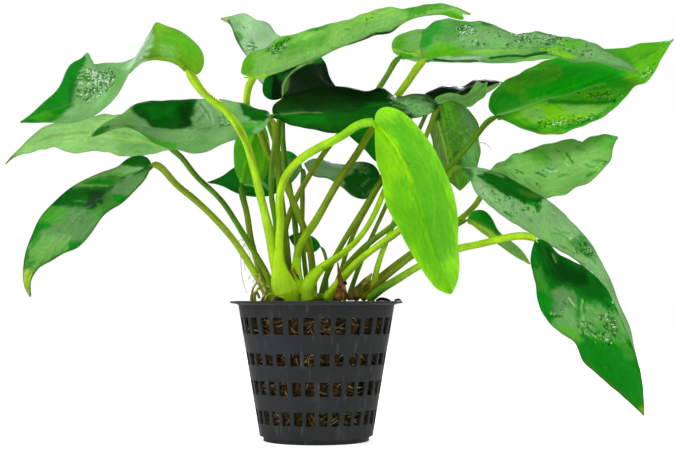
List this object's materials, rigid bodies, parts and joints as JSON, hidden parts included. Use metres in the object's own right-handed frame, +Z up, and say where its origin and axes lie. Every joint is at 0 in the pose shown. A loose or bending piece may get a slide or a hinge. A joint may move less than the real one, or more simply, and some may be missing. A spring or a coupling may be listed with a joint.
{
  "type": "potted anubias plant",
  "caption": "Anubias aquarium plant with long leaf blades on slender stalks, rooted in a wool plug inside a slotted grey net pot.",
  "frame": {"origin": "centre of the pot's base, on the surface it stands on", "axes": "+Z up along the pot's axis, +X to the right and -Y towards the viewer as in the picture"},
  "size_m": [0.2186, 0.09, 0.1452],
  "materials": {
    "leaf_dark": "glossy wet leaf, dark green",
    "leaf_fresh": "glossy wet leaf, mid green",
    "leaf_young": "satin young leaf, yellow-green",
    "stem": "satin, yellow-green",
    "rhizome": "matte, olive green",
    "root": "matte, straw brown",
    "sheath": "dry and matte, brown",
    "growing_medium": "fibrous wool, olive brown",
    "pot": "satin moulded, dark grey"
  },
  "bodies": {
    "root": {"pot": "pot", "growing_medium": "growing_medium", "rhizome": "rhizome", "root": "root", "old_sheath_01": "sheath", "old_sheath_02": "sheath", "leaf_01": "leaf_young", "leaf_02": "leaf_fresh", "leaf_03": "leaf_dark", "leaf_04": "leaf_dark", "leaf_05": "leaf_fresh", "leaf_06": "leaf_fresh", "leaf_07": "leaf_dark", "leaf_08": "leaf_dark", "leaf_09": "leaf_young", "leaf_10": "leaf_fresh", "leaf_11": "leaf_fresh", "leaf_12": "leaf_fresh", "leaf_13": "leaf_fresh", "leaf_14": "leaf_dark", "leaf_15": "leaf_dark", "leaf_16": "leaf_fresh", "leaf_17": "leaf_fresh", "leaf_18": "leaf_dark", "leaf_19": "leaf_dark", "leaf_20": "leaf_dark", "leaf_21": "leaf_dark", "leaf_22": "leaf_young", "leaf_23": "leaf_fresh", "leaf_24": "leaf_young", "stem_01": "stem", "stem_02": "stem", "stem_03": "stem", "stem_04": "stem", "stem_05": "stem", "stem_06": "stem", "stem_07": "stem", "stem_08": "stem", "stem_09": "stem", "stem_10": "stem", "stem_11": "stem", "stem_12": "stem", "stem_13": "stem", "stem_14": "stem", "stem_15": "stem", "stem_16": "stem", "stem_17": "stem", "stem_18": "stem", "stem_19": "stem", "stem_20": "stem", "stem_21": "stem", "stem_22": "stem", "stem_23": "stem", "stem_24": "stem"}
  },
  "joints": []
}
